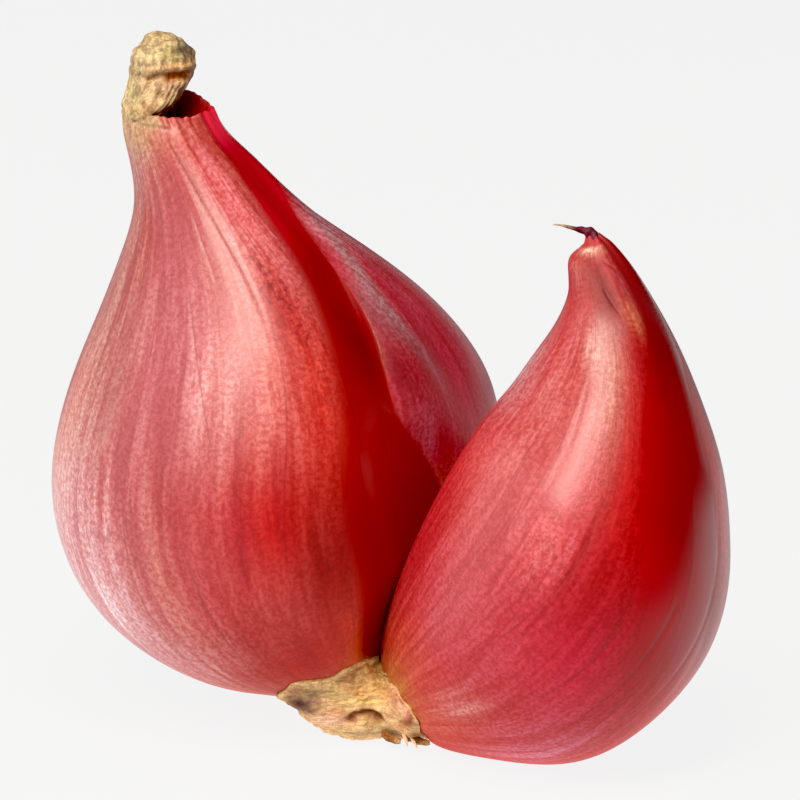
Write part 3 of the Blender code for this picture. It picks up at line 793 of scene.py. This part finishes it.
degrees, rows_at, at = ring_grid(5.0, PLATE_RINGS, PLATE_SIDES, -180.0)
rib_table = np.array(PLATE_RIBS)
rib_at = np.interp(degrees[0], rib_table[:, 0], np.arange(len(rib_table)))
ribs = spline_through(rib_table[:, 1:], rib_at).reshape(PLATE_SIDES, 5, 2)
flat_point = np.broadcast_to((PLATE_FLAT, 0.0), (PLATE_SIDES, 1, 2))
ribs = np.concatenate([flat_point, ribs], axis=1).transpose(1, 0, 2).reshape(6, -1)
outline = spline_through(ribs, rows_at).reshape(PLATE_RINGS, PLATE_SIDES, 2)
radius, height = np.moveaxis(outline, 2, 0)
torn = 0.16 * ripples(degrees, (11, 17, 23, 31, 43), 31) + 0.06 * ripples(degrees, (61, 83, 101), 32)
radius = radius + torn * rise(at, 4.0, 5.0)
turn = np.radians(degrees)
plate_points = np.stack([radius * np.cos(turn), radius * np.sin(turn), height], axis=-1)

# Ridges, lumps and the notch, an arch-shaped groove over a swollen lump.
across, up = plate_points[..., 0], lifted(plate_points)
front = fall(plate_points[..., 1], -3.0, -1.0)
off_arch = ((across + 0.64) / 1.35)**2 + ((up - 0.9) / 1.0)**2
notch = bell(off_arch**0.5 - 1.0, 0.33) * rise(up, 0.7, 1.1) * front
ridges = np.sin(up * 9.5 + 1.3 * lumps(plate_points, 5.0, 41)) * bell(across + 0.9, 2.6) * bell(up - 4.0, 1.6)
relief = 0.16 * lumps(plate_points, 2.6, 42) + 0.06 * lumps(plate_points, 0.9, 43) + 0.12 * ridges * front
relief = relief - 0.5 * notch + 0.35 * front * np.exp(-off_arch * 1.2)
relief = relief + 0.3 * front * bell(across - 0.8, 0.8) * bell(up - 0.5, 0.45)
off_floor = rise(at, 0.2, 1.2)
plate_points = plate_points + outward_normals(plate_points) * (relief * off_floor)[..., None]

# It wraps the undersides of both bulbs, a hair off their skins, but is buried in them at the right.
buried = rise(degrees, -58.0, -50.0) * fall(degrees, -5.0, 20.0)
plate_gap = 0.13 + 0.05 * lumps(plate_points, 1.2, 44) - 3.0 * buried
for skin in (large_points, small_points):
    plate_points = clear_of(plate_points, skin, plate_gap)
plate_points[..., 2] = np.maximum(plate_points[..., 2], 0.0)

# The torn edge is rounded over and tucked up into the skins, towards the middle.
turn = turn[0]
tuck_way = np.stack([-0.4 * np.cos(turn), -0.4 * np.sin(turn), np.full(PLATE_SIDES, 0.9)], axis=-1)
out_way = np.stack([np.cos(turn), np.sin(turn), np.zeros(PLATE_SIDES)], axis=-1)
edge = [plate_points[-1] + ahead * out_way + tucked * tuck_way
        for ahead, tucked in ((0.05, 0.05), (0.05, 0.14), (0.0, 0.3), (-0.2, 0.7), (-0.5, 1.1))]
plate_points = np.concatenate([plate_points, edge])
plate_points[..., 2] = np.maximum(plate_points[..., 2], 0.0)

across, up = plate_points[..., 0], lifted(plate_points)
front = fall(plate_points[..., 1], -3.0, -1.0)
bare_tone = np.array((0.72, 0.45, 0.2))
tone = laid_over(bare_tone, painted(bare_tone, across, up, PLATE_PATCHES), front)
notch = np.concatenate([notch, np.zeros((len(edge), PLATE_SIDES))])
tone = laid_over(tone, (0.2, 0.05, 0.012), 0.95 * notch)


def dried_matter(name, fleck, contrast, depth, roughness, stretch=(1.0, 1.0, 1.0)):
    """Dead, dry tissue: its painted tone, mottled light and dark, with dark pits and rough relief."""
    material, tree, shader = new_material(name)
    tone = mark(tree, "tone", "Color")
    coarse = grain(tree, fleck, 4.0, 0.62, stretch)
    fine = grain(tree, fleck * 0.32, 3.0, 0.6)
    colour = tone
    for pattern, step in ((coarse, contrast), (fine, contrast * 0.6)):
        colour = mottled(tree, colour, spread(tree, pattern, 0.38, 0.62), 0.8 * step, step)
    pits = grain(tree, fleck * 1.4, 5.0, 0.7, stretch)
    sunk = layer(tree, 1.0, colour, (0.42, 0.33, 0.28), "MULTIPLY")
    colour = layer(tree, spread(tree, pits, 0.6, 0.7, 0.0, 2.0 * contrast), colour, sunk)
    relief = bump(tree, fine, depth * 0.4, bump(tree, coarse, depth))
    feed(tree, shader, {"Base Color": colour, "Roughness": roughness, "Specular IOR Level": 0.35,
                        "Normal": relief})
    return material


cork = dried_matter("corky_root_plate", 0.6, 0.25, 0.07, 0.85, (0.7, 1.0, 2.4))
put_mesh("root_plate_fine", plate_points, {"tone": tone}, cork, ["root_plate"])


# ---------------- dried neck
# The withered top of the leaves: a folded, straw-dry hood that stands in the left of the mouth,
# grown from the inner skins, with a hollow where the hood has folded over its lower lobe; the
# hollow's orange-brown and the fold's dark line are painted shade.
NECK_LOFT = [
    (-20.8, 54.2, -20, 54.2, 3, 1),
    (-21.3, 55.1, -19.8, 55, 3, 1.6),
    (-21.9, 56.3, -19.2, 55.8, 3, 2.6),
    (-22.3, 57.3, -18.7, 56.7, 2.9, 3.1),
    (-22.32, 58, -17.8, 57.4, 3, 3.05),
    (-22.05, 58.8, -17.2, 58.2, 3.15, 2.8),
    (-21.9, 59.4, -16.75, 59.1, 3.2, 2.8),
    (-21.78, 60, -16.3, 59.7, 3.2, 2.7),
    (-21.7, 60.6, -15.9, 60.4, 3.2, 2.75),
    (-21.6, 61.4, -15.82, 61.2, 3.2, 2.85),
    (-21.5, 62, -15.85, 61.9, 3.2, 2.8),
    (-21.25, 62.5, -16.1, 62.6, 3.2, 2.6),
    (-20.8, 63, -16.6, 63.1, 3.2, 2.3),
    (-20.4, 63.5, -17.2, 63.5, 3.25, 1.8),
    (-20, 63.95, -18, 63.85, 3.3, 1.2),
    (-19.5, 64.15, -19, 64.15, 3.3, 0.4),
]
NECK_RINGS, NECK_SIDES = 170, 300
NECK_PATCHES = [
    (-21, 59.6, 0.9, 2.4, (0.28, 0.235, 0.104), 0.9),
    (-21.3, 61.8, 0.7, 0.9, (0.31, 0.2, 0.11), 0.8),
    (-20.3, 63.4, 1.1, 0.7, (0.3, 0.205, 0.1), 0.85),
    (-20, 59.8, 1.3, 0.8, (0.5, 0.31, 0.18), 0.8),
    (-17.4, 59.4, 1.4, 1, (0.86, 0.54, 0.31), 0.9),
    (-16.8, 59.3, 0.5, 0.7, (0.95, 0.64, 0.38), 0.8),
    (-18.6, 58.3, 1.3, 0.7, (0.74, 0.43, 0.23), 0.85),
    (-20.2, 57.5, 1.3, 0.7, (0.42, 0.24, 0.11), 0.85),
    (-19.3, 62.4, 1.4, 0.9, (0.56, 0.43, 0.22), 0.8),
    (-17.8, 62.4, 1, 0.6, (0.42, 0.31, 0.12), 0.85),
    (-19.2, 61.2, 0.7, 0.4, (0.55, 0.3, 0.16), 0.8),
    (-17, 61.5, 1.3, 0.25, (0.9, 0.48, 0.21), 0.9),
    (-16.2, 62.1, 0.5, 0.5, (0.3, 0.15, 0.065), 0.8),
    (-18.5, 62.9, 0.6, 0.35, (0.28, 0.22, 0.08), 0.7),
    # Nearly black on the hood's upper right: painted shade.
    (-16.5, 62.9, 1, 0.65, (0.09, 0.065, 0.045), 0.95),
    (-16.3, 60.4, 0.5, 0.5, (0.42, 0.16, 0.065), 0.7),
]

degrees, rows_at, at = ring_grid(len(NECK_LOFT) - 1.0, NECK_RINGS, NECK_SIDES)
neck_points = loft(NECK_LOFT, rows_at, degrees)
across, depth, height = np.moveaxis(neck_points, 2, 0)
front = rise(2.6 - depth, 0.0, 1.2)
hollow = np.exp(-((across + 17.25) / 1.2)**4 - ((height - 60.42) / 0.5)**4) * front
lip_above = bell(across + 17.1, 1.3) * bell(height - 61.35, 0.28) * front
fold = bell(height - 60.45 - 0.15 * np.sin(across * 2.6), 0.3) * front * bell(across + 19.5, 1.3)
wrinkles = ripples(degrees + 4.0 * np.sin(at * 0.7), range(14, 34, 3), 53) * bell(height - 59.4, 2.2)
relief = 0.08 * lumps(neck_points, 1.5, 51)
relief = relief + 0.05 * lumps(neck_points, 0.75, 52) * rise(height, 60.5, 61.5) + 0.05 * wrinkles
relief = relief * (0.4 + 0.6 * rise(at, 1.0, 4.0)) * fall(at, 13.0, 15.0)
relief = relief - 0.52 * hollow + 0.2 * lip_above - 0.3 * fold
neck_points = neck_points + outward_normals(neck_points) * relief[..., None]
facing = rise(4.6 - neck_points[..., 1], 0.0, 1.4)
straw_tone = np.array((0.54, 0.37, 0.19))
tone = laid_over(straw_tone, painted(straw_tone, across, height, NECK_PATCHES), 0.35 + 0.65 * facing)
# Painted shade: the dark fold line and the orange-brown hollow under the folded hood.
tone = laid_over(tone, (0.24, 0.095, 0.024), 0.85 * fold)
tone = laid_over(tone, (0.44, 0.12, 0.025), np.minimum(1.15 * hollow, 1.0))
dry_straw = dried_matter("straw_dry_neck", 0.6, 0.36, 0.08, 0.72, (1.0, 1.0, 0.7))
put_mesh("dried_neck_fine", neck_points, {"tone": tone}, dry_straw, ["dried_neck"])


# ---------------- tip wisp
# The last thread of withered leaf on the small bulb's tip: dark where it leaves the skin, and
# dried to pale straw at its bent point.
WISP_LOOK_PATH = [(19.8, -10, 47.8, 0.6), (19.3, -10, 48.4, 0.6), (18.6, -10.1, 48.8, 0.36),
                  (17.6, -10.3, 49.1, 0.17), (16.6, -10.5, 49.4, 0.09), (15.9, -10.7, 49.5, 0.05)]
WISP_TONES = [(0.2, 0.05, 0.04), (0.13, 0.012, 0.03), (0.13, 0.012, 0.03), (0.16, 0.05, 0.04),
              (0.5, 0.38, 0.24), (0.55, 0.44, 0.3)]


def sweep(path, rings, sides, thick_way, thinness):
    """A ring carried along a path: centre + radius x (cos x side way + thinness x sin x thick way)."""
    row = spline_through(path, np.linspace(0.0, len(path) - 1.0, rings))
    along = np.gradient(row[:, :3], axis=0)
    along /= np.linalg.norm(along, axis=1, keepdims=True)
    side_way = np.cross(np.broadcast_to(thick_way, along.shape), along)
    side_way /= np.linalg.norm(side_way, axis=1, keepdims=True)
    other_way = np.cross(along, side_way)
    turn = np.linspace(0.0, 2.0 * np.pi, sides, endpoint=False)[None, :, None]
    ring = np.cos(turn) * side_way[:, None] + thinness * np.sin(turn) * other_way[:, None]
    return row[:, None, :3] + row[:, None, 3:] * ring


def withered(name, path, tones, rings, sides, material, replaced, seed,
             thick_way=(0.0, 0.0, 1.0), thinness=1.0, shrunk=0.18):
    """One withered strand: a sweep shrunk unevenly by seeded lumps, with tones along its length."""
    points = sweep(path, rings, sides, thick_way, thinness)
    path_at = np.linspace(0.0, len(path) - 1.0, rings)
    width = np.interp(path_at, np.arange(len(path)), np.array(path)[:, 3])
    relief = shrunk * width[:, None] * lumps(points, 0.9, seed)
    points = points + outward_normals(points) * relief[..., None]
    tone = spline_through(tones, np.linspace(0.0, len(tones) - 1.0, rings))[:, None]
    put_mesh(name, points, {"tone": tone}, material, replaced)


withered("tip_wisp_fine", WISP_LOOK_PATH, WISP_TONES, 90, 40,
         dried_matter("papery_wisp_skin", 0.4, 0.25, 0.03, 0.6), ["tip_wisp"], 61)


# ---------------- skin flap
# A scrap of pale outer skin that still hangs off the small bulb where it was torn at the plate.
FLAP_LOOK_PATH = [(2.6, -9.3, 6.2, 0.1), (2.8, -9.75, 5.7, 0.42), (3.1, -10.1, 5.1, 0.52),
                  (3.3, -10.15, 4.5, 0.48), (3.5, -10, 4, 0.28)]
FLAP_TONES = [(0.45, 0.12, 0.06), (0.62, 0.29, 0.18), (0.72, 0.37, 0.24), (0.64, 0.27, 0.17),
              (0.3, 0.07, 0.035)]

withered("base_skin_flap_fine", FLAP_LOOK_PATH, FLAP_TONES, 80, 48,
         dried_matter("papery_flap_skin", 0.5, 0.2, 0.03, 0.6), ["base_skin_flap"], 62,
         thick_way=(0.45, -0.8, -0.25), thinness=0.22)


# ---------------- root stubs
# The dried stumps of the cut roots, shrivelled and brown, and the pale fibres frayed from them.
STUB_PATHS = [
    [(2.7, -5.8, 1.5, 0.4), (3.5, -6.5, 1.3, 0.44), (4.3, -6.7, 0.9, 0.38), (5.2, -6.6, 0.8, 0.2)],
    [(1, -5.6, 1.3, 0.34), (1.7, -6.2, 1, 0.32), (2.6, -6.4, 0.8, 0.18)],
    [(3, 5.4, 2, 0.42), (3.6, 6.5, 1.5, 0.4), (4.7, 7.2, 0.7, 0.22)],
    [(0.2, 6.1, 2.2, 0.45), (0.1, 7.2, 1.5, 0.42), (-0.7, 8.3, 0.6, 0.22)],
    [(-2.9, 5.5, 2, 0.4), (-3.8, 6.4, 1.4, 0.38), (-5, 6.8, 0.7, 0.22)],
]
STUB_TONES = [(0.3, 0.11, 0.03), (0.22, 0.075, 0.018), (0.3, 0.13, 0.045), (0.45, 0.27, 0.12)]
FIBRE_PATHS = [
    [(2.7, -6.3, 1.9, 0.2), (3, -7.1, 1.3, 0.16), (3.2, -7.5, 0.7, 0.07)],
    [(3.3, -6.8, 1.9, 0.18), (3.7, -7.4, 1.2, 0.14), (4.1, -7.7, 0.6, 0.06)],
    [(3.6, -6, 1.8, 0.22), (4.5, -6.6, 1.5, 0.26), (5.4, -7, 1.1, 0.12)],
]
FIBRE_TONES = [(0.62, 0.33, 0.17), (0.8, 0.52, 0.32), (0.7, 0.45, 0.28)]

for number, path in enumerate(STUB_PATHS, start=1):
    node_name = f"root_stub_{number}"
    bark = dried_matter(f"dried_root_{number}_bark", 0.35, 0.35, 0.06, 0.85)
    withered(node_name + "_fine", path, STUB_TONES, 70, 36, bark, [node_name],
             70 + number, shrunk=0.22)
for number, path in enumerate(FIBRE_PATHS, start=1):
    bark = dried_matter(f"frayed_fibre_{number}_bark", 0.35, 0.25, 0.03, 0.8)
    withered(f"frayed_fibre_{number}", path, FIBRE_TONES, 40, 16, bark, (), 80 + number)


# ---------------- camera
# A long lens a little above the bulbs, so that their outlines are hardly drawn together.
CAMERA_DISTANCE, CAMERA_ELEVATION = 0.45, 14.0
LENS, SENSOR_WIDTH = 225.0, 36.0
AIM_FROM_MIDDLE = np.array([0.00133, 0.00005, -0.0011])

aim = (np.array(cad_low) + np.array(cad_high)) / 2.0 + AIM_FROM_MIDDLE
tilt = np.radians(CAMERA_ELEVATION)
camera_data = bpy.data.cameras.new("studio_camera")
camera_data.lens = LENS
camera_data.sensor_width = SENSOR_WIDTH
camera = new_object("studio_camera", camera_data)
camera.location = aim + CAMERA_DISTANCE * np.array([0.0, -np.cos(tilt), np.sin(tilt)])
camera.rotation_euler = (np.pi / 2.0 - tilt, 0.0, 0.0)
bpy.context.scene.camera = camera


# ---------------- studio
# A plain pale floor that lights the bulbs softly from the left and behind, and gives back the red
# of their skins in their own reflections; one long soft key light slanted over the left front, and
# weaker soft panels at the left and behind for the edges.
FLOOR_HALF, FLOOR_SEEN, FLOOR_GREY = 2.5, 0.873, 0.04
FRONT_WAY = (0.34, -0.94, 0.0)
GLOW_BEHIND, GLOW_IN_FRONT, GLOW_FAR_BEHIND = 1.15, 0.11, 0.15
UNDER_BULBS, RED_BOUNCE = (0.0, -0.028, 0.0), (1.0, 0.22, 0.14)

corners = [(x * FLOOR_HALF, y * FLOOR_HALF, 0.0) for x, y in ((-1, -1), (1, -1), (1, 1), (-1, 1))]
floor_mesh = bpy.data.meshes.new("studio_floor")
floor_mesh.from_pydata(corners, [], [(0, 1, 2, 3)])
floor = new_object("studio_floor", floor_mesh)
material, tree, shader = new_material("pale_floor")
place = node(tree, "ShaderNodeTexCoord").outputs["Object"]
ray = node(tree, "ShaderNodeLightPath")
to_front = node(tree, "ShaderNodeVectorMath", {0: place, 1: FRONT_WAY}, operation="DOT_PRODUCT")
far_behind = node(tree, "ShaderNodeSeparateXYZ", {0: place}).outputs[1]
glow = times(tree, spread(tree, to_front.outputs["Value"], 0.02, 0.07, GLOW_BEHIND, GLOW_IN_FRONT),
             spread(tree, far_behind, 0.15, 0.22, 1.0, GLOW_FAR_BEHIND))
shown = node(tree, "ShaderNodeMix", {0: ray.outputs["Is Camera Ray"], 2: glow, 3: FLOOR_SEEN})
by_bulbs = node(tree, "ShaderNodeVectorMath", {0: place, 1: UNDER_BULBS}, operation="DISTANCE")
bounce = times(tree, spread(tree, by_bulbs.outputs["Value"], 0.015, 0.055, 1.0, 0.0),
               ray.outputs["Is Glossy Ray"])
glow_colour = layer(tree, bounce, (1.0, 1.0, 1.0), RED_BOUNCE)
feed(tree, shader, {"Base Color": (FLOOR_GREY, FLOOR_GREY, FLOOR_GREY, 1.0), "Roughness": 0.9,
                    "Specular IOR Level": 0.0, "Emission Color": glow_colour,
                    "Emission Strength": shown.outputs[0]})
floor.data.materials.append(material)


def soft_light(name, azimuth, elevation, distance, width, height, brightness, roll=0.0,
               colour=(1.0, 1.0, 1.0)):
    """A rectangular light that faces the bulbs; azimuth 0 is the camera's side, 90 the right."""
    turn, lift = np.radians(azimuth), np.radians(elevation)
    away = np.array([np.sin(turn) * np.cos(lift), -np.cos(turn) * np.cos(lift), np.sin(lift)])
    light_data = bpy.data.lights.new(name, "AREA")
    light_data.color = colour
    light_data.shape = "RECTANGLE"
    light_data.size, light_data.size_y = width, height
    light_data.energy = brightness * np.pi * width * height
    light = new_object(name, light_data)
    light.location = aim + distance * away
    light.rotation_euler = (np.pi / 2.0 - lift, 0.0, turn)
    light.rotation_euler.rotate_axis("Z", np.radians(roll))


soft_light("key_light", -15.0, 49.0, 0.6, 0.21, 0.54, 14.6, -35.0, (1.0, 0.95, 0.84))
soft_light("left_panel", -72.0, 22.0, 0.55, 0.85, 0.46, 1.75)
soft_light("left_back_panel", -140.0, 3.0, 0.6, 0.4, 0.25, 0.9)
soft_light("right_back_panel", 150.0, 0.0, 0.6, 0.5, 0.08, 1.1)
soft_light("right_top_light", 98.0, 58.0, 0.55, 0.16, 0.12, 1.0)

BACKDROP_GREY, BLACK_LEVEL = 0.896, 0.012
world = bpy.data.worlds.new("studio_world")
world.use_nodes = True
tree = world.node_tree
seen = node(tree, "ShaderNodeLightPath").outputs["Is Camera Ray"]
feed(tree, tree.nodes["Background"], {
    "Color": (BACKDROP_GREY, BACKDROP_GREY, BACKDROP_GREY, 1.0),
    "Strength": spread(tree, seen, 0.0, 1.0, 0.01, 1.0)})
bpy.context.scene.world = world
view_settings = bpy.context.scene.view_settings
view_settings.view_transform = "Standard"
view_settings.use_curve_mapping = True
view_settings.curve_mapping.black_level = (BLACK_LEVEL, BLACK_LEVEL, BLACK_LEVEL)
view_settings.curve_mapping.update()
